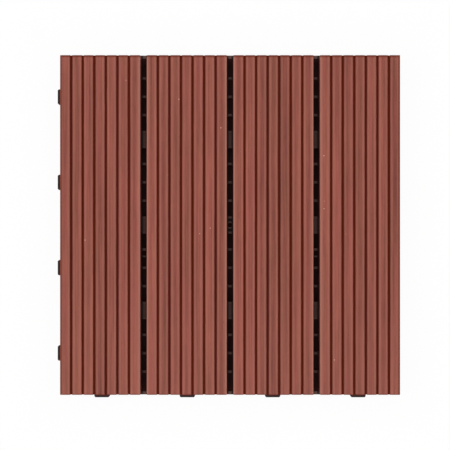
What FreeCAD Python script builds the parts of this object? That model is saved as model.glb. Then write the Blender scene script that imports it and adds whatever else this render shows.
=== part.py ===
import FreeCAD, Part
import Sketcher
import math
import os
from FreeCAD import Vector, Placement, Rotation

# Interlocking deck tile, in millimetres, +Z up.
# Four grooved composite slats lie side by side on one moulded lattice base and are held by
# screws from below. The origin is the middle of the tile on the ground it stands on, +X runs
# across the slats and +Y along them.

# Each row is a driving size: its alias, its value and what it measures.
SIZES = [
    ("module_pitch", 75.0, "from one slat to the next, and from one square of the base to the next"),
    ("base_inset", 2.8, "what the base lacks of four whole squares"),
    ("slat_end_inset", 6.0, "what a slat lacks of four whole squares in length"),
    ("slat_gap", 5.5, "drain gap between two slats"),
    ("slat_height", 11.0, "thickness of a slat"),
    ("slat_edge_round", 1.2, "rounding of a slat's long upper edges"),
    ("slat_foot_round", 0.8, "rounding of a slat's long lower edges"),
    ("edge_ridge", 9.75, "from a slat's edge to the middle of its first groove"),
    ("groove_width", 2.0, "width between a groove's walls"),
    ("groove_depth", 1.8, "depth of a groove below the tread"),
    ("groove_lip_round", 0.45, "rounding of the ridges beside a groove"),
    ("base_height", 11.0, "height of the base under the slats"),
    ("base_corner_round", 4.0, "rounding of the base's four corners"),
    ("wall_thick", 1.6, "thickness of the base's outer wall"),
    ("rim_thick", 3.0, "thickness of that wall's upper rim, which is as high as the lattice"),
    ("rib_thick", 2.0, "thickness of a lattice rib"),
    ("rib_lift", 7.5, "height of the lattice above the ground"),
    ("bar_spacing", 16.1, "from the middle rib of a square to the bars beside it"),
    ("channel_width", 15.1, "width of the channel between two squares, over the ribs that line it"),
    ("web_thick", 2.0, "thickness of the web that joins two squares"),
    ("web_drop", 0.6, "how far that web lies below the top of the ribs"),
    ("gutter_thick", 2.0, "floor thickness of the drain channel under a gap"),
    ("drain_jamb", 0.5, "what the mouth of a drain channel lacks of its clear width on each side"),
    ("drain_height", 5.0, "height of that mouth above the channel's floor"),
    ("tie_thick", 1.2, "thickness of the two thin ties across the outer channels"),
    ("tie_from_middle", 27.6, "distance of the ties from the tile's middle line"),
    ("hub_ring_outer", 14.0, "outside of the hub's outer ring"),
    ("hub_ring_wall", 1.2, "wall of each ring of the hub"),
    ("hub_tube_outer", 6.4, "outside of the hub's inner tube"),
    ("hub_recess", 2.5, "depth of the round channel between the hub's rings"),
    ("hub_floor", 1.0, "thickness of that channel's floor"),
    ("screw_width", 3.5, "outside of the screw's thread"),
    ("screw_bite", 7.2, "how far a screw reaches into its slat"),
    ("head_width", 7.0, "width of the screw's head"),
    ("head_height", 2.2, "height of the screw's head"),
    ("head_recess", 2.0, "how far a screw's head stays above the ground"),
    ("shank_clearance", 0.2, "gap round a screw in the base"),
    ("pilot_clearance", 0.05, "gap round a screw in its slat"),
    ("pilot_spare", 0.8, "what a slat's hole is deeper than its screw"),
    ("boss_brim", 1.0, "how far a screw boss reaches past the screw's head"),
    ("tongue_width", 13.4, "width of a tongue where it leaves the wall"),
    ("tongue_corner", 1.1, "chamfer of a tongue's two corners"),
    ("tongue_thick", 3.4, "thickness of a tongue"),
    ("tongue_drop", 1.6, "how far a tongue lies below the top of the base"),
    ("hook_height", 1.0, "height of the hook on a tongue's tip"),
    ("hook_length", 0.8, "thickness of that hook"),
    ("hook_clearance", 0.2, "play between a hook and the wall it holds"),
    ("laid_gap", 0.2, "gap between the walls of two laid tiles"),
    ("socket_side_clearance", 0.5, "play on each side of a tongue in its socket"),
    ("socket_roof_clearance", 0.2, "play above a tongue in its socket"),
    ("socket_end_clearance", 2.5, "room behind a tongue's hook in its socket"),
]
# The real tile has four slats and four rows of squares, six grooves in a slat. A screw holds each
# end of a slat.
SLATS = 4
GROOVES = 6
SLAT_SCREWS = 2
# How far a cutting outline runs past the face that it opens.
PAST = 1.0
# Two places nearer than this are the same place.
SAME = 1e-6

doc = FreeCAD.newDocument("deck_tile")
sheet = doc.addObject("Spreadsheet::Sheet", "Sizes")
for row, (alias, value, meaning) in enumerate(SIZES, start=1):
    sheet.set(f"A{row}", alias)
    sheet.set(f"B{row}", str(value))
    sheet.set(f"C{row}", meaning)
    sheet.setAlias(f"B{row}", alias)
doc.recompute()


def formula(text):
    """Write a formula of aliases as the document's expressions want it."""
    for alias, _, _ in sorted(SIZES, key=lambda size: -len(size[0])):
        text = text.replace("{" + alias + "}", "Sizes." + alias)
    return text


# Lengths that follow from the driving sizes, as formulas.
SPAN = "({module_pitch} * " + str(SLATS - 1) + ")"
BASE_SIZE = "({module_pitch} * " + str(SLATS) + " - {base_inset})"
SLAT_LENGTH = "({module_pitch} * " + str(SLATS) + " - {slat_end_inset})"
SLAT_WIDTH = "({module_pitch} - {slat_gap})"
GROOVE_SPAN = "(" + SLAT_WIDTH + " - 2 * {edge_ridge})"
INSIDE = "(" + BASE_SIZE + " - {wall_thick})"
RIB_HEIGHT = "({base_height} - {rib_lift})"
CROSSING = "({channel_width} - {rib_thick})"
BORDER = "(({module_pitch} - {channel_width} + {rib_thick}) / 2)"
DRAIN_WIDTH = "({channel_width} - 2 * {rib_thick} - 2 * {drain_jamb})"
HUB_CHANNEL = "({base_height} - {hub_recess})"
HUB_HEIGHT = "({hub_recess} + {hub_floor})"
SEAT_HEIGHT = "({head_recess} + {head_height})"
TONGUE_TOP = "({base_height} - {tongue_drop})"
TONGUE_REACH = "({laid_gap} + {wall_thick} + {hook_clearance} + {hook_length})"
SOCKET_WIDTH = "({tongue_width} + 2 * {socket_side_clearance})"
SOCKET_DEPTH = "(" + TONGUE_REACH + " + {socket_end_clearance})"
BOSS_WIDTH = "({head_width} + 2 * {boss_brim})"


def bind(target, **formulas):
    """Tie properties of an object to the sheet; a double underscore stands for a dot."""
    for name, text in formulas.items():
        target.setExpression(name.replace("__", "."), formula(text))


def new_body(name):
    body = doc.addObject("PartDesign::Body", name)
    body.Label = name
    return body


def origin_part(body, role):
    for feature in body.Origin.OriginFeatures:
        if feature.Role == role:
            return feature
    raise RuntimeError("no " + role)


def new_sketch(body, name, plane="XY_Plane", x="0", y="0", z="0"):
    """Open a sketch on one of the body's own planes, moved by x, y and z of that plane."""
    sketch = body.newObject("Sketcher::SketchObject", name)
    sketch.AttachmentSupport = [(origin_part(body, plane), "")]
    sketch.MapMode = "FlatFace"
    bind(sketch, AttachmentOffset__Base__x="(" + x + ") * 1mm",
         AttachmentOffset__Base__y="(" + y + ") * 1mm",
         AttachmentOffset__Base__z="(" + z + ") * 1mm")
    return sketch


def draw_rectangle(sketch, width, length):
    """Draw a rectangle centred on the sketch's origin."""
    first = sketch.GeometryCount
    out = measure(width) / 2
    up = measure(length) / 2
    corners = [Vector(-out, -up, 0), Vector(out, -up, 0), Vector(out, up, 0), Vector(-out, up, 0)]
    for index in range(4):
        sketch.addGeometry(Part.LineSegment(corners[index], corners[(index + 1) % 4]), False)
    for index in range(4):
        sketch.addConstraint(
            Sketcher.Constraint("Coincident", first + index, 2, first + (index + 1) % 4, 1))
    sketch.addConstraint(Sketcher.Constraint("Horizontal", first))
    sketch.addConstraint(Sketcher.Constraint("Vertical", first + 1))
    sketch.addConstraint(Sketcher.Constraint("Horizontal", first + 2))
    sketch.addConstraint(Sketcher.Constraint("Vertical", first + 3))
    sketch.addConstraint(Sketcher.Constraint("Symmetric", first, 1, first + 2, 1, -1, 1))
    across = sketch.addConstraint(Sketcher.Constraint("DistanceX", first, 1, first, 2, 2 * out))
    along = sketch.addConstraint(Sketcher.Constraint("DistanceY", first + 1, 1, first + 1, 2, 2 * up))
    sketch.setExpression(f"Constraints[{across}]", formula(width))
    sketch.setExpression(f"Constraints[{along}]", formula(length))


def draw_rounded_square(sketch, size, radius):
    """Draw a square with rounded corners, centred on the sketch's origin."""
    half = measure(size) / 2
    bend = measure(radius)
    straight = half - bend
    first = sketch.GeometryCount
    quarter = math.pi / 2
    for index in range(4):
        turn = Rotation(Vector(0, 0, 1), 90 * index)
        start = turn.multVec(Vector(-straight, -half, 0))
        end = turn.multVec(Vector(straight, -half, 0))
        middle = turn.multVec(Vector(straight, -straight, 0))
        sketch.addGeometry(Part.LineSegment(start, end), False)
        ring = Part.Circle(middle, Vector(0, 0, 1), bend)
        sketch.addGeometry(Part.ArcOfCircle(ring, (index - 1) * quarter, index * quarter), False)
    for index in range(4):
        line = first + 2 * index
        corner = line + 1
        after = first + 2 * ((index + 1) % 4)
        sketch.addConstraint(Sketcher.Constraint("Tangent", line, 2, corner, 1))
        sketch.addConstraint(Sketcher.Constraint("Tangent", corner, 2, after, 1))
        sketch.addConstraint(Sketcher.Constraint("Horizontal" if index % 2 == 0 else "Vertical", line))
        if index:
            sketch.addConstraint(Sketcher.Constraint("Equal", first + 1, corner))
    sketch.addConstraint(Sketcher.Constraint("Symmetric", first + 1, 3, first + 5, 3, -1, 1))
    sizes = [
        (Sketcher.Constraint("Radius", first + 1, bend), radius),
        (Sketcher.Constraint("DistanceX", first + 6, 1, first + 2, 1, 2 * half), size),
        (Sketcher.Constraint("DistanceY", first, 1, first + 4, 1, 2 * half), size),
    ]
    for constraint, text in sizes:
        held = sketch.addConstraint(constraint)
        sketch.setExpression(f"Constraints[{held}]", formula(text))


def draw_circle(sketch, width):
    """Draw a circle centred on the sketch's origin."""
    radius = measure(width) / 2
    first = sketch.addGeometry(Part.Circle(Vector(0, 0, 0), Vector(0, 0, 1), radius), False)
    sketch.addConstraint(Sketcher.Constraint("Coincident", first, 3, -1, 1))
    across = sketch.addConstraint(Sketcher.Constraint("Diameter", first, 2 * radius))
    sketch.setExpression(f"Constraints[{across}]", formula(width))


def draw_outline(sketch, corners):
    """Draw a closed outline of straight lines through corners given as pairs of formulas."""
    first = sketch.GeometryCount
    count = len(corners)
    places = []
    for across, along in corners:
        places.append(Vector(measure(across), measure(along), 0))
    for index in range(count):
        sketch.addGeometry(Part.LineSegment(places[index], places[(index + 1) % count]), False)
    for index in range(count):
        line = first + index
        sketch.addConstraint(Sketcher.Constraint("Coincident", line, 2, first + (index + 1) % count, 1))
        for kind, text in zip(("DistanceX", "DistanceY"), corners[index]):
            held = sketch.addConstraint(Sketcher.Constraint(kind, -1, 1, line, 1, measure(text)))
            sketch.setExpression(f"Constraints[{held}]", formula(text))


def measure(text):
    """The value of a formula now, in millimetres."""
    value = sheet.evalExpression(formula(text))
    return float(getattr(value, "Value", value))


def pad(body, sketch, name, height):
    feature = body.newObject("PartDesign::Pad", name)
    feature.Profile = sketch
    bind(feature, Length=height)
    return feature


def pocket(body, sketch, name, depth):
    """Cut a sketch into the body, upwards from the sketch."""
    feature = body.newObject("PartDesign::Pocket", name)
    feature.Profile = sketch
    feature.Reversed = True
    bind(feature, Length=depth)
    return feature


def spread(body, originals, name, *rows):
    """Repeat features along one or two axes; each row is an axis, a count and a formula of the length."""
    if len(rows) == 1:
        axis, count, length = rows[0]
        feature = body.newObject("PartDesign::LinearPattern", name)
        feature.Originals = originals
        set_row(body, feature, axis, count, length)
        body.Tip = feature
        return feature
    feature = body.newObject("PartDesign::MultiTransform", name)
    feature.Originals = originals
    steps = []
    for number, (axis, count, length) in enumerate(rows):
        step = body.newObject("PartDesign::LinearPattern", name + "_" + str(number + 1))
        set_row(body, step, axis, count, length)
        steps.append(step)
    feature.Transformations = steps
    body.Tip = feature
    return feature


def set_row(body, pattern, axis, count, length):
    pattern.Direction = (origin_part(body, axis), [""])
    pattern.Occurrences = count
    bind(pattern, Length=length)


def middle_of_first(offset="0"):
    """Where the first square's middle lies, moved by offset."""
    return "-" + SPAN + " / 2 + " + offset


def draw_groove(sketch):
    """Draw a groove's section: straight walls under ridges that roll over into it."""
    half = measure("{groove_width}") / 2
    deep = measure("{groove_depth}")
    lip = measure("{groove_lip_round}")
    turn = Vector(0, 0, 1)
    quarter = math.pi / 2
    lip_r, wall_r, floor, wall_l, lip_l, mouth = range(6)
    sketch.addGeometry([
        Part.ArcOfCircle(Part.Circle(Vector(half + lip, -lip, 0), turn, lip), quarter, 2 * quarter),
        Part.LineSegment(Vector(half, -lip, 0), Vector(half, -deep, 0)),
        Part.LineSegment(Vector(half, -deep, 0), Vector(-half, -deep, 0)),
        Part.LineSegment(Vector(-half, -deep, 0), Vector(-half, -lip, 0)),
        Part.ArcOfCircle(Part.Circle(Vector(-half - lip, -lip, 0), turn, lip), 0, quarter),
        Part.LineSegment(Vector(-half - lip, 0, 0), Vector(half + lip, 0, 0)),
    ], False)
    # The ends that meet, going round from the mouth's right end; an arc's first end is the one
    # that its angle starts from.
    sketch.addConstraint(Sketcher.Constraint("Tangent", lip_r, 2, wall_r, 1))
    sketch.addConstraint(Sketcher.Constraint("Coincident", wall_r, 2, floor, 1))
    sketch.addConstraint(Sketcher.Constraint("Coincident", floor, 2, wall_l, 1))
    sketch.addConstraint(Sketcher.Constraint("Tangent", wall_l, 2, lip_l, 1))
    sketch.addConstraint(Sketcher.Constraint("Coincident", lip_l, 2, mouth, 1))
    sketch.addConstraint(Sketcher.Constraint("Coincident", mouth, 2, lip_r, 1))
    sketch.addConstraint(Sketcher.Constraint("Horizontal", floor))
    sketch.addConstraint(Sketcher.Constraint("Vertical", wall_r))
    sketch.addConstraint(Sketcher.Constraint("Vertical", wall_l))
    sketch.addConstraint(Sketcher.Constraint("Symmetric", mouth, 1, mouth, 2, -1, 1))
    sketch.addConstraint(Sketcher.Constraint("Equal", lip_r, lip_l))
    sizes = [
        (Sketcher.Constraint("Radius", lip_r, lip), "{groove_lip_round}"),
        (Sketcher.Constraint("DistanceX", wall_l, 1, wall_r, 2, 2 * half), "{groove_width}"),
        (Sketcher.Constraint("DistanceY", floor, 1, -1, 1, deep), "{groove_depth}"),
    ]
    for constraint, text in sizes:
        held = sketch.addConstraint(constraint)
        sketch.setExpression(f"Constraints[{held}]", formula(text))


def long_edges(shape, height):
    """Names of the shape's edges that run along Y at a height."""
    names = []
    for number, edge in enumerate(shape.Edges, start=1):
        box = edge.BoundBox
        level = abs(box.ZMin - height) < SAME and abs(box.ZMax - height) < SAME
        if level and box.XLength < SAME < box.YLength:
            names.append(f"Edge{number}")
    return names


def round_edges(body, base, name, names, radius):
    feature = body.newObject("PartDesign::Fillet", name)
    feature.Base = (base, names)
    bind(feature, Radius=radius)
    body.Tip = feature
    return feature


def make_slat(index):
    """One extruded slat: ridged tread on top, sawn ends, and blind screw holes below."""
    body = new_body("slat_" + str(index + 1))
    section = new_sketch(body, body.Name + "_section", "XZ_Plane", y="{slat_height} / 2")
    draw_rectangle(section, SLAT_WIDTH, "{slat_height}")
    blank = pad(body, section, body.Name + "_blank", SLAT_LENGTH)
    blank.Midplane = True
    doc.recompute()
    names = long_edges(blank.Shape, measure("{slat_height}"))
    upper = round_edges(body, blank, body.Name + "_edges", names, "{slat_edge_round}")
    doc.recompute()
    names = long_edges(upper.Shape, 0)
    round_edges(body, upper, body.Name + "_lower_edges", names, "{slat_foot_round}")
    outline = new_sketch(body, body.Name + "_groove_section", "XZ_Plane",
                         x="-" + GROOVE_SPAN + " / 2", y="{slat_height}")
    draw_groove(outline)
    groove = body.newObject("PartDesign::Pocket", body.Name + "_groove")
    groove.Profile = outline
    groove.Type = "ThroughAll"
    groove.Midplane = True
    spread(body, [groove], body.Name + "_grooves", ("X_Axis", GROOVES, GROOVE_SPAN))
    mouth = new_sketch(body, body.Name + "_hole_outline", y=middle_of_first())
    draw_circle(mouth, "{screw_width} + 2 * {pilot_clearance}")
    hole = pocket(body, mouth, body.Name + "_hole", "{screw_bite} + {pilot_spare}")
    spread(body, [hole], body.Name + "_holes", ("Y_Axis", SLAT_SCREWS, SPAN))
    bind(body, Placement__Base__x=middle_of_first("{module_pitch} * " + str(index)),
         Placement__Base__z="{base_height}")
    return body


def place(target, x="0", y="0", z="0"):
    """Set an object down at x, y and z, each a formula."""
    bind(target, Placement__Base__x="(" + x + ") * 1mm", Placement__Base__y="(" + y + ") * 1mm",
         Placement__Base__z="(" + z + ") * 1mm")
    return target


def add_block(name, middle, foot, size):
    """A straight rib, web or room: middle is its place in plan, foot its underside, all as formulas."""
    length, width, height = size
    block = doc.addObject("Part::Box", name)
    bind(block, Length=length, Width=width, Height=height)
    return place(block, middle[0] + " - (" + length + ") / 2", middle[1] + " - (" + width + ") / 2", foot)


def add_round(name, middle, foot, width, height):
    """A round bore on an upright axis."""
    drum = doc.addObject("Part::Cylinder", name)
    bind(drum, Radius="(" + width + ") / 2", Height=height)
    return place(drum, middle[0], middle[1], foot)


def square_middle(index):
    """Where the middle of a row of squares, and of its slat, lies across the tile."""
    return "({module_pitch} * " + str(index - (SLATS - 1) / 2) + ")"


def square_edge(index):
    """The middle of the channel or web after a row of squares."""
    return "({module_pitch} * " + str(index + 1 - SLATS / 2) + ")"


def screw_places():
    """Where the screws stand in plan: at both ends of each slat, in the middle of a square."""
    return [(square_middle(across), square_middle(along)) for across in range(SLATS)
            for along in (0, SLATS - 1)]


def free_sketch(name, turn=None):
    """A sketch that belongs to no body; turn stands it up where it isn't level."""
    sketch = doc.addObject("Sketcher::SketchObject", name)
    if turn:
        sketch.Placement = Placement(Vector(0, 0, 0), turn)
    return sketch


def extrude(name, sketch, direction, length):
    solid = doc.addObject("Part::Extrusion", name)
    solid.Base = sketch
    solid.DirMode = "Custom"
    solid.Dir = direction
    solid.Solid = True
    bind(solid, LengthFwd=length)
    return solid


def make_wall():
    """The outer wall and its thicker rim, with rounded corners."""
    rings = []
    for name, thick, inner_round, foot in (
            ("wall", "{wall_thick}", "{base_corner_round} - {wall_thick}", "0"),
            ("rim", "{rim_thick}", "{base_corner_round} / 4", "{rib_lift}")):
        plan = free_sketch(name + "_plan")
        draw_rounded_square(plan, BASE_SIZE, "{base_corner_round}")
        draw_rounded_square(plan, BASE_SIZE + " - 2 * " + thick, inner_round)
        ring = extrude(name, plan, Vector(0, 0, 1), "{base_height} - " + foot)
        rings.append(place(ring, z=foot))
    return rings


def rib_lines(index):
    """Places across a row of squares: its middle, then the ribs along each channel beside it."""
    middle = square_middle(index)
    lines = [middle]
    if index > 0:
        lines.append(middle + " - " + BORDER)
    if index < SLATS - 1:
        lines.append(middle + " + " + BORDER)
    return lines


def make_lattice():
    """The cross ribs and long ribs of each row of squares, and the bars over the channels."""
    ribs = []
    for index in range(SLATS):
        middle = square_middle(index)
        for number, line in enumerate(rib_lines(index), start=1):
            ribs.append(add_block(f"cross_rib_{index + 1}_{number}", ("0", line), "{rib_lift}",
                                  (INSIDE, "{rib_thick}", RIB_HEIGHT)))
        for channel in range(SLATS - 1):
            for number, side in enumerate(("-", "+"), start=1):
                where = (square_edge(channel), middle + " " + side + " {bar_spacing}")
                ribs.append(add_block(f"bar_{index + 1}_{channel + 1}_{number}", where, "{rib_lift}",
                                      (CROSSING, "{rib_thick}", RIB_HEIGHT)))
        ribs.append(add_block(f"long_rib_{index + 1}", (middle, "0"), "{rib_lift}",
                              ("{rib_thick}", INSIDE, RIB_HEIGHT)))
        for number, line in enumerate(rib_lines(index)[1:], start=1):
            ribs.append(add_block(f"channel_wall_{index + 1}_{number}", (line, "0"), "0",
                                  ("{rib_thick}", INSIDE, "{base_height}")))
    return ribs


def make_webs():
    """The webs near the top between the squares, the drain channels' floors, and the two thin ties."""
    webs = []
    for index in range(SLATS - 1):
        middle = square_edge(index)
        webs.append(add_block(f"web_{index + 1}", ("0", middle), "{base_height} - {web_drop} - {web_thick}",
                              (INSIDE, CROSSING, "{web_thick}")))
        webs.append(add_block(f"gutter_{index + 1}", (middle, "0"), "0", (CROSSING, INSIDE, "{gutter_thick}")))
    for number, index in enumerate((0, SLATS - 2), start=1):
        webs.append(add_block(f"tie_{number}", (square_edge(index), "-{tie_from_middle}"), "{rib_lift}",
                              (CROSSING, "{tie_thick}", RIB_HEIGHT)))
    return webs


def make_tongue(name, turn, x, y):
    """A tongue that points to -X before it is turned: its side view, trimmed to its plan."""
    section = free_sketch(name + "_section", Rotation(Vector(1, 0, 0), 90))
    under = TONGUE_TOP + " - {tongue_thick}"
    root = "{wall_thick} / 2"
    tip = "-" + TONGUE_REACH
    catch = tip + " + {hook_length}"
    draw_outline(section, [
        (root, under), (tip, under), (tip, TONGUE_TOP), (catch, TONGUE_TOP + " + {hook_height}"),
        (catch, TONGUE_TOP), (root, TONGUE_TOP)])
    side_view = extrude(name + "_side", section, Vector(0, 1, 0), "{tongue_width}")
    side_view.Symmetric = True
    plan = free_sketch(name + "_plan")
    half = "{tongue_width} / 2"
    shoulder = tip + " + {tongue_corner}"
    draw_outline(plan, [
        (root, "-" + half), (shoulder, "-" + half), (tip, "-" + half + " + {tongue_corner}"),
        (tip, half + " - {tongue_corner}"), (shoulder, half), (root, half)])
    plan_view = extrude(name + "_top", plan, Vector(0, 0, 1), "{base_height}")
    tongue = doc.addObject("Part::Common", name)
    tongue.Base = side_view
    tongue.Tool = plan_view
    tongue.Placement = Placement(Vector(0, 0, 0), Rotation(Vector(0, 0, 1), turn))
    return place(tongue, x, y)


def make_tongues():
    """Four tongues on the -X wall and four on the -Y wall, one to each row of squares."""
    wall_face = "-" + BASE_SIZE + " / 2"
    tongues = []
    for index in range(SLATS):
        middle = square_middle(index)
        tongues.append(make_tongue(f"tongue_x_{index + 1}", 0, wall_face, middle))
        tongues.append(make_tongue(f"tongue_y_{index + 1}", 90, middle, wall_face))
    return tongues


def make_hub():
    """The round boss in the middle of the tile: two rings round a bore, turned as one section."""
    section = free_sketch("hub_section", Rotation(Vector(1, 0, 0), 90))
    outer = "{hub_ring_outer} / 2"
    tube = "{hub_tube_outer} / 2"
    foot = "{base_height} - " + HUB_HEIGHT
    draw_outline(section, [
        (tube + " - {hub_ring_wall}", foot), (outer, foot), (outer, "{base_height}"),
        (outer + " - {hub_ring_wall}", "{base_height}"), (outer + " - {hub_ring_wall}", HUB_CHANNEL),
        (tube, HUB_CHANNEL), (tube, "{base_height}"), (tube + " - {hub_ring_wall}", "{base_height}")])
    hub = doc.addObject("Part::Revolution", "hub")
    hub.Source = section
    hub.Axis = Vector(0, 0, 1)
    hub.Angle = 360
    hub.Solid = True
    return hub


def make_hub_room():
    """The hub's bore and the round channel between its rings, cut through the web that carries it."""
    ring = free_sketch("hub_room_section", Rotation(Vector(1, 0, 0), 90))
    outer = "{hub_ring_outer} / 2 - {hub_ring_wall}"
    bore = "{hub_tube_outer} / 2 - {hub_ring_wall}"
    foot = "{base_height} - " + HUB_HEIGHT + " - " + str(PAST)
    top = "{base_height} + " + str(PAST)
    draw_outline(ring, [
        ("{hub_tube_outer} / 2", HUB_CHANNEL), (outer, HUB_CHANNEL), (outer, top),
        ("{hub_tube_outer} / 2", top)])
    channel = doc.addObject("Part::Revolution", "hub_channel")
    channel.Source = ring
    channel.Axis = Vector(0, 0, 1)
    channel.Angle = 360
    channel.Solid = True
    hole = add_round("hub_bore", ("0", "0"), foot, "2 * (" + bore + ")", HUB_HEIGHT + " + 2 * " + str(PAST))
    room = doc.addObject("Part::MultiFuse", "hub_room")
    room.Shapes = [channel, hole]
    return room


def make_rooms():
    """What is cut out of the base: screw holes, the drain channels' mouths and the sockets."""
    rooms = []
    for number, middle in enumerate(screw_places(), start=1):
        rooms.append(add_round(f"shank_room_{number}", middle, "0",
                               "{screw_width} + 2 * {shank_clearance}", "{base_height} + " + str(PAST)))
    for index in range(SLATS - 1):
        for number, side in enumerate(("-", "+"), start=1):
            wall_middle = side + INSIDE + " / 2"
            rooms.append(add_block(f"drain_{index + 1}_{number}", (square_edge(index), wall_middle),
                                   "{gutter_thick}",
                                   (DRAIN_WIDTH, "{wall_thick} + 2 * " + str(PAST), "{drain_height}")))
    socket_height = TONGUE_TOP + " + {socket_roof_clearance} + " + str(PAST)
    wall_inside = BASE_SIZE + " / 2 - {wall_thick}"
    room_deep = SOCKET_DEPTH + " - {wall_thick}"
    socket_deep = SOCKET_DEPTH + " + " + str(PAST)
    for index in range(SLATS):
        middle = square_middle(index)
        for side in ("x", "y"):
            cuts = [
                ("socket", BASE_SIZE + " / 2 + " + str(PAST) + " - (" + socket_deep + ") / 2", socket_deep,
                 socket_height),
                ("socket_room", wall_inside + " - (" + room_deep + ") / 2", room_deep,
                 "{base_height} + 2 * " + str(PAST)),
            ]
            for name, out, deep, height in cuts:
                where = (out, middle) if side == "x" else (middle, out)
                size = (deep, SOCKET_WIDTH, height) if side == "x" else (SOCKET_WIDTH, deep, height)
                rooms.append(add_block(f"{name}_{side}_{index + 1}", where, "-" + str(PAST), size))
    return rooms


def make_base():
    """The moulded base: one piece of lattice, webs, channels, screw bosses, tongues and sockets."""
    bosses = []
    for number, middle in enumerate(screw_places(), start=1):
        bosses.append(add_block(f"boss_{number}", middle, SEAT_HEIGHT,
                                (BOSS_WIDTH, BOSS_WIDTH, "{base_height} - " + SEAT_HEIGHT)))
    solid = doc.addObject("Part::MultiFuse", "base_solid")
    solid.Shapes = make_wall() + make_lattice() + make_webs() + bosses + make_tongues() + [make_hub()]
    solid.Refine = False
    rooms = doc.addObject("Part::MultiFuse", "base_rooms")
    rooms.Shapes = make_rooms() + [make_hub_room()]
    grid = doc.addObject("Part::Cut", "base_grid")
    grid.Base = solid
    grid.Tool = rooms
    grid.Refine = True
    grid.Label = "base_grid"
    return grid


def make_screws():
    """The screws, heads down: one turned screw, then repeated to every boss."""
    body = new_body("slat_screws")
    body.AllowCompound = True
    section = new_sketch(body, "screw_section", "XZ_Plane", x=middle_of_first(),
                         z="-(" + middle_of_first() + ")")
    head = "{head_width} / 2"
    shank = "{screw_width} / 2"
    tip = "{base_height} + {screw_bite}"
    draw_outline(section, [
        ("0", "{head_recess}"), (head, "{head_recess}"), (head, SEAT_HEIGHT), (shank, SEAT_HEIGHT),
        (shank, tip), ("0", tip)])
    screw = body.newObject("PartDesign::Revolution", "screw")
    screw.Profile = section
    screw.ReferenceAxis = (section, ["V_Axis"])
    screw.Angle = 360.0
    body.Tip = screw
    spread(body, [screw], "screws", ("X_Axis", SLATS, SPAN), ("Y_Axis", SLAT_SCREWS, SPAN))
    return body


slats = [make_slat(index) for index in range(SLATS)]
base = make_base()
screws = make_screws()
parts = slats + [base, screws]
doc.recompute()

for item in doc.Objects:
    if "Invalid" in item.State or "Error" in item.State:
        raise RuntimeError(item.Name + " failed: " + " ".join(item.State))
os.makedirs("parts", exist_ok=True)
for part in parts:
    if part.Shape.isNull() or not part.Shape.isValid():
        raise RuntimeError(part.Name + " has no sound shape")
    part.Shape.exportStep("parts/" + part.Label + ".step")
    print(part.Label, len(part.Shape.Solids), "solids", round(part.Shape.Volume / 1000, 2), "cm3")
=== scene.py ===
"""Looks of an interlocking deck tile: composite slats on a moulded base, and its studio."""

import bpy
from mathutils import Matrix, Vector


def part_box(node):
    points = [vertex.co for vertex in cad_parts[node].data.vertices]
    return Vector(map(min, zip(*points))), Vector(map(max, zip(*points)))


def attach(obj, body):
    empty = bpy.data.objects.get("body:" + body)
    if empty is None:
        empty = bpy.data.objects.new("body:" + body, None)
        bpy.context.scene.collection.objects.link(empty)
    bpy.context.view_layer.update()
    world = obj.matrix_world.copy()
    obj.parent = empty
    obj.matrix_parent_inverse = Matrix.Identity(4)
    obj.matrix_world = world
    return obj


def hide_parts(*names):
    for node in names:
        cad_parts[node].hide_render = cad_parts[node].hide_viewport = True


bl_info = {
    "name": "Interlocking deck tile",
    "version": (1, 0, 0),
    "blender": (4, 5, 0),
    "location": "3D View > Sidebar > Deck Tile",
    "description": "Builds the finish of a grooved composite deck tile on its black lattice base",
    "category": "Object",
}

import math

import bmesh
import bpy
from bpy.props import FloatProperty, IntProperty, PointerProperty, StringProperty
from mathutils import Matrix, Vector, noise

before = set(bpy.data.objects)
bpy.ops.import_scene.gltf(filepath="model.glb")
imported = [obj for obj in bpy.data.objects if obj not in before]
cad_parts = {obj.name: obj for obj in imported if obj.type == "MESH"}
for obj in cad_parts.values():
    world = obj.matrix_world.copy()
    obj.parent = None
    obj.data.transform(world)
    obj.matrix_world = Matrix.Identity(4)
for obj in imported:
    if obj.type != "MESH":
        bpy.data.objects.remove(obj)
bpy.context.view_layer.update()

MM = 0.001
SLAT_NODES = ["slat_1", "slat_2", "slat_3", "slat_4"]
BASE_NODE = "base_grid"
SCREW_NODE = "slat_screws"
FIRST_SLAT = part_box(SLAT_NODES[0])
SECOND_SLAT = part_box(SLAT_NODES[1])
SLAT_WIDTH = FIRST_SLAT[1][0] - FIRST_SLAT[0][0]
SLAT_PITCH = SECOND_SLAT[0][0] - FIRST_SLAT[0][0]
SLAT_FOOT = FIRST_SLAT[0][2]
TREAD = FIRST_SLAT[1][2]
BASE_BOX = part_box(BASE_NODE)
SCREW_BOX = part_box(SCREW_NODE)


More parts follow.
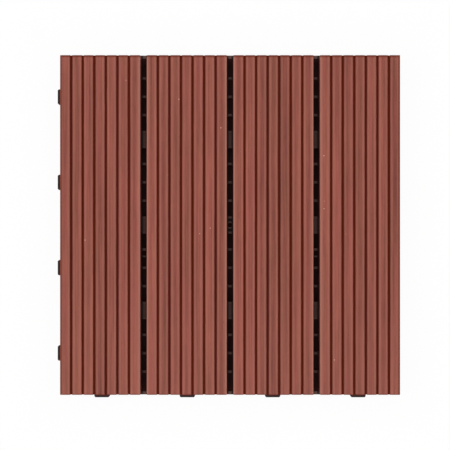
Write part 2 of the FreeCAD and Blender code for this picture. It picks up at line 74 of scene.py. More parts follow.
class SlatSizes(bpy.types.PropertyGroup):
    """Sizes of a slat's ridged tread that the frame's boxes don't give."""
    groove_pitch: FloatProperty(
        name="Groove pitch", description="From one groove's middle to the next",
        default=10 * MM, unit="LENGTH")
    groove_width: FloatProperty(
        name="Groove width", description="Between a groove's walls", default=2 * MM, unit="LENGTH")
    groove_depth: FloatProperty(
        name="Groove depth", description="Below the tread", default=1.8 * MM, unit="LENGTH")
    lip_round: FloatProperty(
        name="Ridge rounding", description="Where a ridge rolls over into a groove",
        default=0.45 * MM, unit="LENGTH")
    floor_round: FloatProperty(
        name="Floor rounding", description="At the foot of a groove's walls",
        default=0.3 * MM, unit="LENGTH")
    edge_round: FloatProperty(
        name="Edge rounding", description="Of a slat's long upper edges", default=1.2 * MM, unit="LENGTH")
    foot_round: FloatProperty(
        name="Foot rounding", description="Of a slat's long lower edges", default=0.8 * MM, unit="LENGTH")
    end_break: FloatProperty(
        name="End chamfer", description="Round the sawn ends", default=0.25 * MM, unit="LENGTH")
    unevenness: FloatProperty(
        name="Unevenness", description="How far brushing has sunk the ridges in places",
        default=0.05 * MM, unit="LENGTH")
    waviness: FloatProperty(
        name="Waviness", description="How far brushing has moved a ridge's edge aside in places",
        default=0.14 * MM, unit="LENGTH")
    grooves: IntProperty(name="Grooves", description="Grooves in a slat", default=6, min=1)


class SlatColours(bpy.types.PropertyGroup):
    """Colours of the composite."""
    ridge: StringProperty(name="Ridge", description="Brushed tread, sRGB hex", default="8E5143")
    ridge_red: StringProperty(name="Ridge, red", description="Redder streaks, sRGB hex", default="914E44")
    # The pale colour also paints the highlight along the ridges' rounded edges.
    ridge_pale: StringProperty(name="Ridge, pale", description="Rubbed arrises, sRGB hex", default="B17464")
    # The groove colour is partly the unbrushed skin and partly painted shade, in the grooves and along the
    # outer edges.
    groove: StringProperty(name="Groove", description="Unbrushed groove, sRGB hex", default="6B1F08")
    side: StringProperty(name="Side", description="Extruded skin of the sides, sRGB hex", default="7C433B")
    sawn: StringProperty(name="Sawn end", description="Sawn ends, sRGB hex", default="8A5347")
    fleck: StringProperty(name="Fleck", description="Grains of pale wood flour, sRGB hex", default="D8AA9C")


class BaseColours(bpy.types.PropertyGroup):
    """Colours of the base and the screws."""
    plastic: StringProperty(name="Base", description="Black polypropylene, sRGB hex", default="1E1716")
    plastic_pale: StringProperty(
        name="Base, greyed", description="Paler flow marks, sRGB hex", default="2A2322")
    # This colour is painted light on the lattice's top in the middle of each gap.
    rib_light: StringProperty(
        name="Dust", description="Sawdust on the lattice's top, sRGB hex", default="6E5048")
    wash: StringProperty(
        name="Wash", description="Film of sawdust on the tongues' tops, sRGB hex", default="6A3A34")
    # This colour is painted shade on the drain channels' floors, tinted red as by light bounced off the
    # slats.
    channel_shade: StringProperty(
        name="Grime", description="Wet sawdust in the drain channels, sRGB hex", default="360B06")
    zinc: StringProperty(name="Screws", description="Zinc plating, sRGB hex", default="B9B7B0")


class ScrewSizes(bpy.types.PropertyGroup):
    """Sizes of a screw that the frame's box doesn't give."""
    rows: IntProperty(name="Rows", description="Screws in a slat", default=2, min=2)
    head_radius: FloatProperty(
        name="Head radius", description="Of the screw's head", default=3.5 * MM, unit="LENGTH")
    head_height: FloatProperty(
        name="Head height", description="Of the screw's head", default=2.2 * MM, unit="LENGTH")
    head_round: FloatProperty(
        name="Head rounding", description="Of the rim of its face", default=0.8 * MM, unit="LENGTH")
    thread_radius: FloatProperty(
        name="Thread radius", description="Outside of the thread", default=1.75 * MM, unit="LENGTH")
    core_radius: FloatProperty(
        name="Core radius", description="At the thread's root", default=1.25 * MM, unit="LENGTH")
    thread_pitch: FloatProperty(
        name="Thread pitch", description="From one turn to the next", default=1.4 * MM, unit="LENGTH")
    point: FloatProperty(name="Point", description="Length of the point", default=3.0 * MM, unit="LENGTH")
    recess_arm: FloatProperty(
        name="Recess arm", description="From the middle to the end of an arm of the cross",
        default=1.9 * MM, unit="LENGTH")
    recess_half: FloatProperty(
        name="Recess half width", description="Half the width of such an arm",
        default=0.42 * MM, unit="LENGTH")
    recess_depth: FloatProperty(
        name="Recess depth", description="Of the cross", default=1.4 * MM, unit="LENGTH")


class StageSettings(bpy.types.PropertyGroup):
    """Camera and light."""
    camera_height: FloatProperty(
        name="Camera height", description="Lens above the tread", default=0.797, unit="LENGTH")
    camera_aside: FloatProperty(
        name="Camera aside", description="How far left of the tile's middle the camera stands",
        default=4.4 * MM, unit="LENGTH")
    picture_width: FloatProperty(
        name="Picture width", description="What the picture spans in the plane of the tread",
        default=0.3893, unit="LENGTH")
    lamp_size: FloatProperty(
        name="Lamp size", description="Side of each square lamp", default=1.1, unit="LENGTH")
    key_power: FloatProperty(
        name="Key lamp", description="Power of the left lamp in watts", default=13.2, unit="POWER")
    fill_power: FloatProperty(
        name="Fill lamp", description="Power of the right lamp in watts", default=10.0, unit="POWER")
    end_power: FloatProperty(
        name="End lamps", description="Power of the front and the back lamp, each, in watts",
        default=6.5, unit="POWER")
    ambient: FloatProperty(name="Ambient", description="Strength of the surrounding light", default=0.3)
    floor_shade: FloatProperty(
        name="Floor shade", description="How much of the shadow beside the tile is seen",
        default=0.05, subtype="FACTOR")


def colour(code):
    """A hex sRGB colour such as 905548, as linear RGBA."""
    linear = []
    for start in (0, 2, 4):
        value = int(code[start:start + 2], 16) / 255
        linear.append(value / 12.92 if value <= 0.04045 else ((value + 0.055) / 1.055) ** 2.4)
    return linear + [1.0]


def new_material(name):
    """An empty node material and its tree."""
    material = bpy.data.materials.new(name)
    material.use_nodes = True
    material.node_tree.nodes.clear()
    return material, material.node_tree


def add_node(tree, kind, settings=None):
    """Add a node with its settings and links.

    A setting is a property's value, an input's value, or the socket or node that an input is linked
    from, where a node stands for its first output.
    """
    added = tree.nodes.new(kind)
    for name, value in (settings or {}).items():
        if isinstance(value, bpy.types.Node):
            tree.links.new(value.outputs[0], added.inputs[name])
        elif isinstance(value, bpy.types.NodeSocket):
            tree.links.new(value, added.inputs[name])
        elif isinstance(name, str) and hasattr(added, name):
            setattr(added, name, value)
        else:
            added.inputs[name].default_value = value
    return added


def millimetres(tree, stretch=(1.0, 1.0, 1.0)):
    """Object coordinates in millimetres, each axis divided by a feature's length along it."""
    place = add_node(tree, "ShaderNodeTexCoord").outputs["Object"]
    factors = [1.0 / MM / length for length in stretch]
    return add_node(tree, "ShaderNodeVectorMath", {"operation": "MULTIPLY", 0: place, 1: factors})


def pattern(tree, stretch, detail=2.0, roughness=0.6):
    """Noise round 0.5 whose features are as long as stretch says along each axis, in millimetres."""
    return add_node(tree, "ShaderNodeTexNoise", {
        "Vector": millimetres(tree, stretch), "Scale": 1.0, "Detail": detail, "Roughness": roughness})


def distance_from_lines(tree, value, first, spacing):
    """Distance from the nearest of the parallel lines that lie a spacing apart, one of them at first."""
    shifted = add_node(tree, "ShaderNodeMath", {"operation": "SUBTRACT", 0: value, 1: first})
    return add_node(tree, "ShaderNodeMath", {"operation": "PINGPONG", 0: shifted, 1: spacing / 2})


def mask(tree, strength, *limits):
    """Strength where each value is past its second limit, 0 where one is before its first.

    It changes smoothly between the two. The strength is a number or another mask.
    """
    product = strength
    for value, low, high in limits:
        share = add_node(tree, "ShaderNodeMapRange", {
            "interpolation_type": "SMOOTHSTEP", "Value": value, "From Min": low, "From Max": high})
        product = add_node(tree, "ShaderNodeMath", {"operation": "MULTIPLY", 0: share, 1: product})
    return product


def lay_over(tree, base, over, *masks):
    """Cover one colour by another, as much as the strongest of the masks says."""
    strongest = 0.0
    for layer in masks:
        strongest = add_node(tree, "ShaderNodeMath", {"operation": "MAXIMUM", 0: layer, 1: strongest})
    mix = add_node(tree, "ShaderNodeMix", {"data_type": "RGBA", 0: strongest, 6: base, 7: over})
    return mix.outputs[2]


def brighten(tree, base, grain, **amounts):
    """Scale a colour by 1 plus, for each pattern named, its distance from 0.5 times its amount."""
    gain = 1.0 - sum(amounts.values()) / 2
    for name, amount in amounts.items():
        gain = add_node(tree, "ShaderNodeMath", {
            "operation": "MULTIPLY_ADD", 0: grain[name], 1: amount, 2: gain})
    return add_node(tree, "ShaderNodeVectorMath", {"operation": "SCALE", 0: base, "Scale": gain})


def flour_specks(tree, cell, radius, share):
    """Mask of a few pale grains, sizes in millimetres: one grain in a share of the cells of a grid.

    A grain fades from 0.6 to 1.4 of its radius.
    """
    grid = add_node(tree, "ShaderNodeTexVoronoi", {
        "Vector": millimetres(tree, (cell, cell, cell)), "Scale": 1.0})
    chance = add_node(tree, "ShaderNodeSeparateXYZ", {0: grid.outputs["Color"]})
    chosen = add_node(tree, "ShaderNodeMath", {"operation": "LESS_THAN", 0: chance, 1: share})
    return mask(tree, chosen, (grid.outputs["Distance"], 1.4 * radius / cell, 0.6 * radius / cell))


def brushed_ridge(tree, colours, place, grain):
    """Colour of the open tread: streaks and fibres, a little bleached, with pits down to the skin."""
    drift = pattern(tree, (8.0, 95.0, 40.0))
    ridge = lay_over(tree, colour(colours.ridge), colour(colours.ridge_red),
                     mask(tree, 1.0, (drift, 0.3, 0.7)))
    ridge = brighten(tree, ridge, grain, tone=1.2, cloud=0.36, streak=0.8, fibre=0.35)
    # Weather has bleached the tread a little, from 20 mm behind the tile's middle to its -Y end.
    bleached = mask(tree, 0.1, (place.outputs["Y"], 20.0, FIRST_SLAT[0][1] / MM))
    ridge = lay_over(tree, ridge, colour(colours.ridge_pale), bleached)
    pits = pattern(tree, (1.0, 2.6, 1.0), detail=1.0)
    return lay_over(tree, ridge, colour(colours.groove), mask(tree, 0.6, (pits, 0.27, 0.2)))


def ridge_marks_and_edge_light(tree, sizes, colours, place, off_middle, off_groove, ridge):
    """Lay marks and painted light over the tread's colour: a painted highlight along the ridges' edges, and
    painted shade along the tile's outer edges and ends.

    Each starts and ends at distances in millimetres.
    """
    pale = colour(colours.ridge_pale)
    dark = colour(colours.groove)
    lip = (sizes.groove_width / 2 + sizes.lip_round) / MM
    half = SLAT_WIDTH / MM / 2
    # A ridge keeps some of the dark skin where it rolls over into a groove.
    ridge = lay_over(tree, ridge, dark, mask(tree, 0.1, (off_groove, lip + 0.4, lip - 0.3)))
    # It is painted paler beside each groove, and more so along the drain gaps: a painted highlight where
    # the rounded edges catch the light.
    beside = mask(tree, 0.33, (off_groove, lip + 2.3, lip + 0.9), (off_groove, lip - 0.1, lip + 0.5))
    edge = mask(tree, 0.95, (off_middle, half - 2.4, half - 0.8))
    ridge = lay_over(tree, ridge, pale, beside, edge)
    ridge = lay_over(tree, ridge, colour(colours.fleck),
                     flour_specks(tree, cell=9.0, radius=0.45, share=0.12))
    # The tile's outer edges and its sawn ends are darkened, least at -Y: painted shade where they round
    # over.
    side = -FIRST_SLAT[0][0] / MM
    end = FIRST_SLAT[1][1] / MM
    out = add_node(tree, "ShaderNodeMath", {"operation": "ABSOLUTE", 0: place.outputs["X"]})
    outer = mask(tree, 0.78, (out, side - 2.7, side - 1.0))
    back = mask(tree, 0.78, (place.outputs["Y"], end - 2.6, end - 0.9))
    front = mask(tree, 0.546, (place.outputs["Y"], 1.4 - end, 0.3 - end))
    return lay_over(tree, ridge, dark, outer, back, front)


def composite_material(sizes, colours):
    """Wood-plastic composite, extruded and brushed: matt, with fine streaks along the slat.

    Brushing opens the plastic skin of the ridges, so they are paler and drier than the grooves, which
    keep the dark extruded skin; that dark colour also paints the shade that falls in the grooves. Wood
    flour is about 0.1 mm wide. So that it shows, its fibres are drawn 0.7 mm wide and its few pale
    grains 0.9 mm wide.
    """
    material, tree = new_material("brushed_wood_plastic_composite")
    place = add_node(tree, "ShaderNodeSeparateXYZ", {0: millimetres(tree)})
    slat_middle = (FIRST_SLAT[0][0] + FIRST_SLAT[1][0]) / 2 / MM
    off_middle = distance_from_lines(tree, place.outputs["X"], slat_middle, SLAT_PITCH / MM)
    groove_pitch = sizes.groove_pitch / MM
    last_groove = groove_pitch * (sizes.grooves - 1) / 2
    off_groove = distance_from_lines(tree, off_middle, last_groove, groove_pitch)
    # Lengths of each pattern's features across, along and up the slat, in millimetres.
    grain = {
        "tone": pattern(tree, (7.0, 260.0, 50.0)),
        "cloud": pattern(tree, (3.2, 22.0, 8.0)),
        "streak": pattern(tree, (1.1, 60.0, 3.0), detail=3.0),
        "fibre": pattern(tree, (0.7, 5.0, 0.7), roughness=0.7),
    }
    ridge = brushed_ridge(tree, colours, place, grain)
    ridge = ridge_marks_and_edge_light(tree, sizes, colours, place, off_middle, off_groove, ridge)
    # Below the tread the sides keep their skin, and the grooves a darker one, which also paints the shade
    # that falls in them.
    tread = TREAD / MM
    half = SLAT_WIDTH / MM / 2
    dark = colour(colours.groove)
    sunk = mask(tree, 1.0, (place.outputs["Z"], tread - 0.3, tread - 0.9))
    skin = brighten(tree, colour(colours.side)[:3], grain, streak=0.5, cloud=0.5)
    base = lay_over(tree, ridge, skin, sunk)
    base = lay_over(tree, base, dark, mask(tree, sunk, (off_middle, half - 0.8, half - 1.4)))
    # Sawn ends show the flour as a mottle without streaks.
    facing = add_node(tree, "ShaderNodeSeparateXYZ", {
        0: add_node(tree, "ShaderNodeNewGeometry").outputs["Normal"]})
    along = add_node(tree, "ShaderNodeMath", {"operation": "ABSOLUTE", 0: facing.outputs["Y"]})
    mottle = pattern(tree, (0.9, 0.9, 0.9), detail=4.0, roughness=0.75)
    sawn = lay_over(tree, dark, colour(colours.sawn), mask(tree, 1.0, (mottle, 0.35, 0.7)))
    base = lay_over(tree, base, sawn, mask(tree, 1.0, (along, 0.6, 0.9)))
    # Brush lines are about 0.2 mm apart; drawn 0.45 mm apart so that they show.
    lines = pattern(tree, (0.45, 14.0, 0.45), detail=3.0, roughness=0.65)
    relief = add_node(tree, "ShaderNodeMath", {
        "operation": "MULTIPLY_ADD", 0: grain["fibre"], 1: 0.5, 2: lines})
    bump = add_node(tree, "ShaderNodeBump", {"Strength": 0.55, "Distance": 0.12 * MM, "Height": relief})
    rough = add_node(tree, "ShaderNodeMapRange", {"To Min": 0.66, "To Max": 0.88, "Value": grain["fibre"]})
    shader = add_node(tree, "ShaderNodeBsdfPrincipled", {
        "IOR": 1.48, "Specular IOR Level": 0.2, "Base Color": base, "Roughness": rough, "Normal": bump})
    add_node(tree, "ShaderNodeOutputMaterial", {0: shader})
    return material


def plastic_material(colours):
    """Black polypropylene, injection moulded: satin, with the fine grain of a spark-eroded mould.

    Mould grain is about 0.1 mm; drawn 0.4 mm wide so that it shows. The moulding's edges are softened
    by 0.2 mm in the shading alone.
    """
    material, tree = new_material("moulded_black_polypropylene")
    grain = pattern(tree, (0.4, 0.4, 0.4), detail=3.0)
    flow = pattern(tree, (18.0, 30.0, 9.0))
    base = lay_over(tree, colour(colours.plastic), colour(colours.plastic_pale),
                    mask(tree, 1.0, (flow, 0.45, 0.7)))
    place = add_node(tree, "ShaderNodeSeparateXYZ", {0: millimetres(tree)})
    facing = add_node(tree, "ShaderNodeSeparateXYZ", {
        0: add_node(tree, "ShaderNodeNewGeometry").outputs["Normal"]})
    up = facing.outputs["Z"]
    seat = SLAT_FOOT / MM
    wall = -BASE_BOX[1][0] / MM
    pitch = SLAT_PITCH / MM
    half_gap = (SLAT_PITCH - SLAT_WIDTH) / MM / 2
    gap_middle = FIRST_SLAT[1][0] / MM + half_gap
    aside = distance_from_lines(tree, place.outputs["X"], gap_middle, pitch)
    # The lattice's top is painted lighter along the middle of each gap between two slats: painted light,
    # where light falls through the gap.
    lit_middle = mask(tree, 1.0, (up, 0.5, 0.9), (place.outputs["Z"], seat - 1.4, seat - 0.3),
                 (aside, 0.8 * half_gap, 0.2 * half_gap))
    base = lay_over(tree, base, colour(colours.rib_light), lit_middle)
    # The rain washes a film of sawdust over the tongues' tops, which stand out past the wall at -X and -Y.
    past = add_node(tree, "ShaderNodeMath", {
        "operation": "MINIMUM", 0: place.outputs["X"], 1: place.outputs["Y"]})
    washed = mask(tree, 0.55, (past, wall, wall - 0.4), (up, 0.7, 0.95))
    base = lay_over(tree, base, colour(colours.wash), washed)
    # The drain channel's floor under each gap, which lies lower than 2.5 mm, is painted with shade, tinted
    # red as by light bounced off the slats.
    shaded_channel = mask(tree, 1.0, (up, 0.5, 0.9), (place.outputs["Z"], 3.0, 2.5),
                 (aside, 2.2 * half_gap, 1.2 * half_gap))
    base = lay_over(tree, base, colour(colours.channel_shade), shaded_channel)
    rough = add_node(tree, "ShaderNodeMapRange", {"To Min": 0.42, "To Max": 0.6, "Value": flow})
    soft = add_node(tree, "ShaderNodeBevel", {"samples": 4, "Radius": 0.2 * MM})
    bump = add_node(tree, "ShaderNodeBump", {
        "Strength": 0.3, "Distance": 0.04 * MM, "Height": grain, "Normal": soft})
    shader = add_node(tree, "ShaderNodeBsdfPrincipled", {
        "IOR": 1.49, "Specular IOR Level": 0.2, "Base Color": base, "Roughness": rough, "Normal": bump})
    add_node(tree, "ShaderNodeOutputMaterial", {0: shader})
    return material


def zinc_material(colours):
    """Zinc-plated steel, cold headed: a metal with a soft, slightly cloudy shine."""
    material, tree = new_material("zinc_plated_steel")
    cloud = pattern(tree, (1.2, 1.2, 1.2), detail=3.0, roughness=0.5)
    rough = add_node(tree, "ShaderNodeMapRange", {"To Min": 0.26, "To Max": 0.46, "Value": cloud})
    shader = add_node(tree, "ShaderNodeBsdfPrincipled", {
        "Metallic": 1.0, "Base Color": colour(colours.zinc), "Roughness": rough})
    add_node(tree, "ShaderNodeOutputMaterial", {0: shader})
    return material


def looked_at(tree):
    """1 for the camera's rays and for those that a mirror or glass sends on, 0 for the rest."""
    rays = add_node(tree, "ShaderNodeLightPath").outputs
    sent_on = add_node(tree, "ShaderNodeMath", {
        "operation": "MAXIMUM", 0: rays["Is Glossy Ray"], 1: rays["Is Transmission Ray"]})
    return add_node(tree, "ShaderNodeMath", {
        "operation": "MAXIMUM", 0: rays["Is Camera Ray"], 1: sent_on})


def floor_material(shade):
    """Matt white studio board, seen white, with its shadow whole under the tile and faint beside it."""
    material, tree = new_material("matt_white_board")
    diffuse = add_node(tree, "ShaderNodeBsdfDiffuse", {"Color": colour("F4F4F2")})
    white = add_node(tree, "ShaderNodeEmission", {"Color": colour("FFFFFF"), "Strength": 1.0})
    place = add_node(tree, "ShaderNodeSeparateXYZ", {0: millimetres(tree)})
    across = add_node(tree, "ShaderNodeMath", {"operation": "ABSOLUTE", 0: place.outputs["X"]})
    along = add_node(tree, "ShaderNodeMath", {"operation": "ABSOLUTE", 0: place.outputs["Y"]})
    out = add_node(tree, "ShaderNodeMath", {"operation": "MAXIMUM", 0: across, 1: along})
    # The whole shadow ends 3 mm outside the slats, and the faint one 80 mm outside.
    side = -FIRST_SLAT[0][0] / MM
    under = mask(tree, 1.0, (out, side + 3.0, side))
    beside = mask(tree, shade, (out, side + 80.0, side))
    shadow = add_node(tree, "ShaderNodeMath", {"operation": "MAXIMUM", 0: under, 1: beside})
    lit = add_node(tree, "ShaderNodeMath", {"operation": "SUBTRACT", 0: 1.0, 1: shadow})
    amount = add_node(tree, "ShaderNodeMath", {"operation": "MULTIPLY", 0: looked_at(tree), 1: lit})
    mix = add_node(tree, "ShaderNodeMixShader", {0: amount, 1: diffuse, 2: white})
    add_node(tree, "ShaderNodeOutputMaterial", {0: mix})
    return material


def arc(middle, radius, start, end, count):
    """Points of an arc from one angle in degrees to another, in the plane of the section."""
    points = []
    for number in range(count + 1):
        angle = math.radians(start + (end - start) * number / count)
        points.append((middle[0] + radius * math.cos(angle), middle[1] + radius * math.sin(angle)))
    return points


def spaced(start, end, count):
    """Points between two ends, without the ends."""
    points = []
    for number in range(1, count):
        share = number / count
        points.append((start[0] + (end[0] - start[0]) * share, start[1] + (end[1] - start[1]) * share))
    return points


def slat_section(sizes):
    """A slat's outline seen along +Y: (x, z) from its middle line, anticlockwise from below left."""
    half = SLAT_WIDTH / 2
    top = TREAD
    foot = SLAT_FOOT
    heel = sizes.foot_round
    edge = sizes.edge_round
    lip = sizes.lip_round
    bend = sizes.floor_round
    wall = sizes.groove_width / 2
    floor = top - sizes.groove_depth
    points = arc((heel - half, foot + heel), heel, 180, 270, count=4)
    points += spaced((heel - half, foot), (half - heel, foot), count=12)
    points += arc((half - heel, foot + heel), heel, 270, 360, count=4)
    points += arc((half - edge, top - edge), edge, 0, 90, count=6)
    last = half - edge
    for number in range(sizes.grooves):
        middle = sizes.groove_pitch * ((sizes.grooves - 1) / 2 - number)
        right = middle + wall + lip
        left = middle - wall - lip
        points += spaced((last, top), (right, top), count=7)
        points += arc((right, top - lip), lip, 90, 180, count=5)
        points += arc((middle + wall - bend, floor + bend), bend, 0, -90, count=3)
        points += arc((middle - wall + bend, floor + bend), bend, -90, -180, count=3)
        points += arc((left, top - lip), lip, 0, 90, count=5)
        last = left
    points += spaced((last, top), (edge - half, top), count=7)
    points += arc((edge - half, top - edge), edge, 90, 180, count=6)
    return points


def brushed_point(sizes, middle, across, along, height):
    """Where brushing has moved a point of a ridge: down, and aside too except at the slat's edges."""
    x = middle + across
    # Each noise has features of its own size across and along, and a third place of its own.
    down = noise.noise(Vector((x / (4 * MM), along / (30 * MM), 0.5)))
    aside = noise.noise(Vector((x / (3 * MM), along / (9 * MM), 7.5)))
    # The noise runs round 0, and this shift lets brushing sink most of a ridge.
    shift = 0.35
    height -= sizes.unevenness * max(0.0, down + shift)
    if abs(across) < (SLAT_WIDTH - sizes.groove_pitch) / 2:
        across += sizes.waviness * aside
    return across, height


def slat_mesh(name, box, sizes):
    """Sweep the section along the slat, chamfered at the sawn ends and brushed between them."""
    middle = (box[0][0] + box[1][0]) / 2
    start, end = box[0][1], box[1][1]
    inset = sizes.end_break
    steps = 96
    between = [start + inset + (end - start - 2 * inset) * number / steps for number in range(1, steps)]
    stations = [start, start + inset, *between, end - inset, end]
    half = SLAT_WIDTH / 2
    section = slat_section(sizes)
    vertices = []
    for along in stations:
        for across, height in section:
            if along in (start, end):
                across = max(inset - half, min(half - inset, across))
                height = max(SLAT_FOOT + inset, min(TREAD - inset, height))
            elif height > TREAD - sizes.lip_round:
                across, height = brushed_point(sizes, middle, across, along, height)
            vertices.append((middle + across, along, height))
    around = len(section)
    faces = []
    for row in range(len(stations) - 1):
        for column in range(around):
            after = (column + 1) % around
            faces.append((row * around + column, (row + 1) * around + column,
                          (row + 1) * around + after, row * around + after))
    last = (len(stations) - 1) * around
    faces.append(tuple(range(around)))
    faces.append(tuple(last + number for number in reversed(range(around))))
    mesh = bpy.data.meshes.new(name)
    mesh.from_pydata(vertices, [], faces)
    mesh.validate()
    mesh.shade_smooth()
    mesh.set_sharp_from_angle(angle=math.radians(40))
    return mesh


def circle(radius):
    """Points of a circle, anticlockwise."""
    return arc((0.0, 0.0), radius, 0, 360, count=32)[:-1]


def cross_outline(arm, half):
    """The twelve corners of a cross, anticlockwise."""
    corners = []
    for quarter in range(4):
        sine = math.sin(math.pi / 2 * quarter)
        cosine = math.cos(math.pi / 2 * quarter)
        for x, y in ((arm, -half), (arm, half), (half, half)):
            corners.append((x * cosine - y * sine, x * sine + y * cosine))
    return corners


def add_ring(mesh, points, height):
    """Add a closed loop of vertices at one height."""
    return [mesh.verts.new((x, y, height)) for x, y in points]


def skin_rings(mesh, first, second):
    """Join two loops of equal counts with faces."""
    count = len(first)
    for number in range(count):
        after = (number + 1) % count
        mesh.faces.new((first[number], first[after], second[after], second[number]))


def add_head(mesh, sizes):
    """Add a screw's head, its face down at 0, and return its ring at the shank."""
    rim = sizes.head_radius - sizes.head_round
    face = add_ring(mesh, circle(rim), 0.0)
    mouth = add_ring(mesh, cross_outline(sizes.recess_arm, sizes.recess_half), 0.0)
    # The cross recess tapers, in its arms' length more than in their width.
    length_taper = 0.6
    width_taper = 0.8
    cross = cross_outline(length_taper * sizes.recess_arm, width_taper * sizes.recess_half)
    bottom = add_ring(mesh, cross, sizes.recess_depth)
    skin_rings(mesh, mouth, bottom)
    mesh.faces.new(bottom)
    edges = []
    for loop in (face, mouth):
        for ends in zip(loop, loop[1:] + loop[:1]):
            edges.append(mesh.edges.get(ends) or mesh.edges.new(ends))
    bmesh.ops.triangle_fill(mesh, use_beauty=True, edges=edges)
    last = face
    rounding = arc((rim, sizes.head_round), sizes.head_round, -90, 0, count=5)[1:]
    shoulder = [(sizes.head_radius, sizes.head_height), (sizes.core_radius, sizes.head_height)]
    for out, up in rounding + shoulder:
        ring = add_ring(mesh, circle(out), up)
        skin_rings(mesh, last, ring)
        last = ring
    return last


def add_thread(mesh, sizes, height, last):
    """Turn the thread from the head up to the tip of the screw."""
    levels_per_turn = 12
    # The thread takes this share of its pitch, and the tip keeps this share of the screw's radius.
    thread_share = 0.4
    blunt_tip = 0.08
    shank = height - sizes.head_height
    levels = int(shank / sizes.thread_pitch * levels_per_turn)
    for level in range(1, levels + 1):
        up = sizes.head_height + shank * level / levels
        taper = max(min(1.0, (height - up) / sizes.point), blunt_tip)
        points = []
        for x, y in circle(1.0):
            phase = (up / sizes.thread_pitch - math.atan2(y, x) / (2 * math.pi)) % 1.0
            crest = max(0.0, 1.0 - abs(phase - 0.5) / (thread_share / 2))
            out = (sizes.core_radius + (sizes.thread_radius - sizes.core_radius) * crest) * taper
            points.append((x * out, y * out))
        ring = add_ring(mesh, points, up)
        skin_rings(mesh, last, ring)
        last = ring
    mesh.faces.new(last)


def screw_mesh(sizes, height):
    """One screw, head down, from its face at 0 to its tip."""
    mesh = bmesh.new()
    add_thread(mesh, sizes, height, add_head(mesh, sizes))
    bmesh.ops.recalc_face_normals(mesh, faces=mesh.faces)
    return mesh


def add_piece(name, mesh, material, replaced):
    """Show a mesh as a piece of the tile, with its finish, in place of a node of the frame."""
    piece = bpy.data.objects.new(name, mesh)
    bpy.context.scene.collection.objects.link(piece)
    piece.data.materials.append(material)
    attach(piece, "root")
    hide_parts(replaced)


def add_lamp(name, place, size, power):
    """A square soft lamp that faces the tile."""
    light = bpy.data.lights.new(name, "AREA")
    light.size = size
    light.energy = power
    lamp = bpy.data.objects.new(name, light)
    lamp.location = place
    lamp.rotation_euler = (-Vector(place)).to_track_quat("-Z", "Y").to_euler()
    bpy.context.scene.collection.objects.link(lamp)


def add_floor(shade):
    """The board that the tile lies on, 6 m to each side."""
    reach = 6.0
    mesh = bpy.data.meshes.new("floor")
    mesh.from_pydata([(-reach, -reach, 0), (reach, -reach, 0), (reach, reach, 0), (-reach, reach, 0)],
                     [], [(0, 1, 2, 3)])
    floor = bpy.data.objects.new("floor", mesh)
    bpy.context.scene.collection.objects.link(floor)
    floor.data.materials.append(floor_material(shade))


def add_world(ambient):
    """White surroundings: seen at full strength, and lighting the tile at the ambient strength."""
    world = bpy.data.worlds.new("studio_white")
    world.use_nodes = True
    tree = world.node_tree
    tree.nodes.clear()
    strength = add_node(tree, "ShaderNodeMapRange", {
        "To Min": ambient, "To Max": 1.0, "Value": looked_at(tree)})
    back = add_node(tree, "ShaderNodeBackground", {"Color": colour("FFFFFF"), "Strength": strength})
    add_node(tree, "ShaderNodeOutputWorld", {0: back})
    bpy.context.scene.world = world


class DECKTILE_OT_stage(bpy.types.Operator):
    """Set the floor, the soft lamps, the surrounding light and the camera"""
    bl_idname = "decktile.stage"
    bl_label = "Stage"

    def execute(self, context):
        stage = context.scene.deck_stage
        if min(stage.camera_height, stage.picture_width) <= 0:
            raise RuntimeError("the camera needs a height and a width to see")
        add_floor(stage.floor_shade)
        add_lamp("left_lamp", (-1.3, 0.1, 1.2), stage.lamp_size, stage.key_power)
        add_lamp("right_lamp", (1.3, 0.1, 1.2), stage.lamp_size, stage.fill_power)
        add_lamp("back_lamp", (0.0, 1.6, 1.2), stage.lamp_size, stage.end_power)
        add_lamp("front_lamp", (0.0, -1.6, 1.0), stage.lamp_size, stage.end_power)
        add_world(stage.ambient)
        lens = bpy.data.cameras.new("camera")
        lens.sensor_width = 36.0
        lens.lens = lens.sensor_width * stage.camera_height / stage.picture_width
        lens.clip_start = 10 * MM
        camera = bpy.data.objects.new("camera", lens)
        camera.location = (-stage.camera_aside, 0.0, TREAD + stage.camera_height)
        context.scene.collection.objects.link(camera)
        context.scene.camera = camera
        context.scene.view_settings.view_transform = "Standard"
        return {"FINISHED"}


class DECKTILE_OT_slats(bpy.types.Operator):
    """Build the four grooved slats in brushed composite"""
    bl_idname = "decktile.slats"
    bl_label = "Slats"

    def execute(self, context):
        sizes = context.scene.deck_slat_sizes
        if sizes.groove_pitch * sizes.grooves > SLAT_WIDTH or sizes.groove_depth >= TREAD - SLAT_FOOT:
            raise RuntimeError("the grooves don't fit the slats")
        material = composite_material(sizes, context.scene.deck_slat_colours)
        for node in SLAT_NODES:
            mesh = slat_mesh(node + "_brushed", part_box(node), sizes)
            add_piece(node + "_brushed", mesh, material, node)
        return {"FINISHED"}


class DECKTILE_OT_base(bpy.types.Operator):
    """Give the moulded base its black polypropylene"""
    bl_idname = "decktile.base"
    bl_label = "Base"

    def execute(self, context):
        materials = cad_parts[BASE_NODE].data.materials
        materials.clear()
        materials.append(plastic_material(context.scene.deck_base_colours))
        return {"FINISHED"}


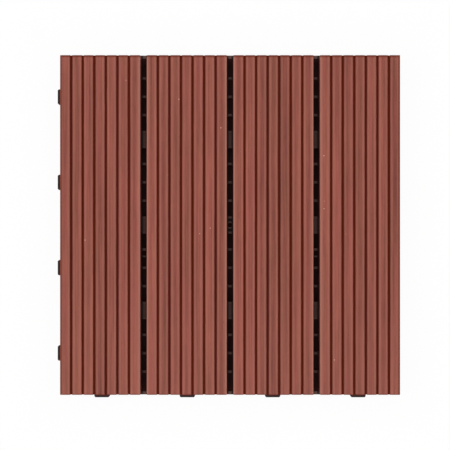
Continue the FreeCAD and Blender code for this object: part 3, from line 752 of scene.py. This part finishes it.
class DECKTILE_OT_screws(bpy.types.Operator):
    """Turn the screws under the tile: rounded head, cross recess and thread, zinc plated"""
    bl_idname = "decktile.screws"
    bl_label = "Screws"

    def execute(self, context):
        sizes = context.scene.deck_screw_sizes
        low, high = SCREW_BOX
        height = high[2] - low[2]
        if sizes.head_height + sizes.point >= height:
            raise RuntimeError("the screws are too short for their heads and points")
        screw = screw_mesh(sizes, height)
        joined = bmesh.new()
        mesh = bpy.data.meshes.new("slat_screws_turned")
        span = [high[axis] - low[axis] - 2 * sizes.head_radius for axis in (0, 1)]
        for across in range(len(SLAT_NODES)):
            for along in range(sizes.rows):
                x = low[0] + sizes.head_radius + span[0] * across / (len(SLAT_NODES) - 1)
                y = low[1] + sizes.head_radius + span[1] * along / (sizes.rows - 1)
                screw.to_mesh(mesh)
                mesh.transform(Matrix.Translation((x, y, low[2])))
                joined.from_mesh(mesh)
        joined.to_mesh(mesh)
        joined.free()
        screw.free()
        mesh.shade_smooth()
        mesh.set_sharp_from_angle(angle=math.radians(35))
        material = zinc_material(context.scene.deck_base_colours)
        add_piece("slat_screws_turned", mesh, material, SCREW_NODE)
        return {"FINISHED"}


GROUPS = {
    "deck_slat_sizes": SlatSizes,
    "deck_slat_colours": SlatColours,
    "deck_base_colours": BaseColours,
    "deck_screw_sizes": ScrewSizes,
    "deck_stage": StageSettings,
}
OPERATORS = [DECKTILE_OT_stage, DECKTILE_OT_slats, DECKTILE_OT_base, DECKTILE_OT_screws]


class DECKTILE_PT_panel(bpy.types.Panel):
    """Lists the steps and what they read"""
    bl_label = "Deck Tile"
    bl_space_type = "VIEW_3D"
    bl_region_type = "UI"
    bl_category = "Deck Tile"

    def draw(self, context):
        layout = self.layout
        for group in GROUPS:
            settings = getattr(context.scene, group)
            column = layout.column(align=True)
            for name in settings.__annotations__:
                column.prop(settings, name)
        for operator in OPERATORS:
            layout.operator(operator.bl_idname)


def register():
    """Make the settings, the operators and the panel known to Blender."""
    for name, group in GROUPS.items():
        bpy.utils.register_class(group)
        setattr(bpy.types.Scene, name, PointerProperty(type=group))
    for operator in OPERATORS:
        bpy.utils.register_class(operator)
    bpy.utils.register_class(DECKTILE_PT_panel)


def unregister():
    """Take back what register made known."""
    bpy.utils.unregister_class(DECKTILE_PT_panel)
    for operator in reversed(OPERATORS):
        bpy.utils.unregister_class(operator)
    for name, group in GROUPS.items():
        delattr(bpy.types.Scene, name)
        bpy.utils.unregister_class(group)


def main():
    """Build the stage and every piece."""
    register()
    bpy.ops.decktile.stage()
    bpy.ops.decktile.slats()
    bpy.ops.decktile.base()
    bpy.ops.decktile.screws()


if __name__ == "__main__":
    main()
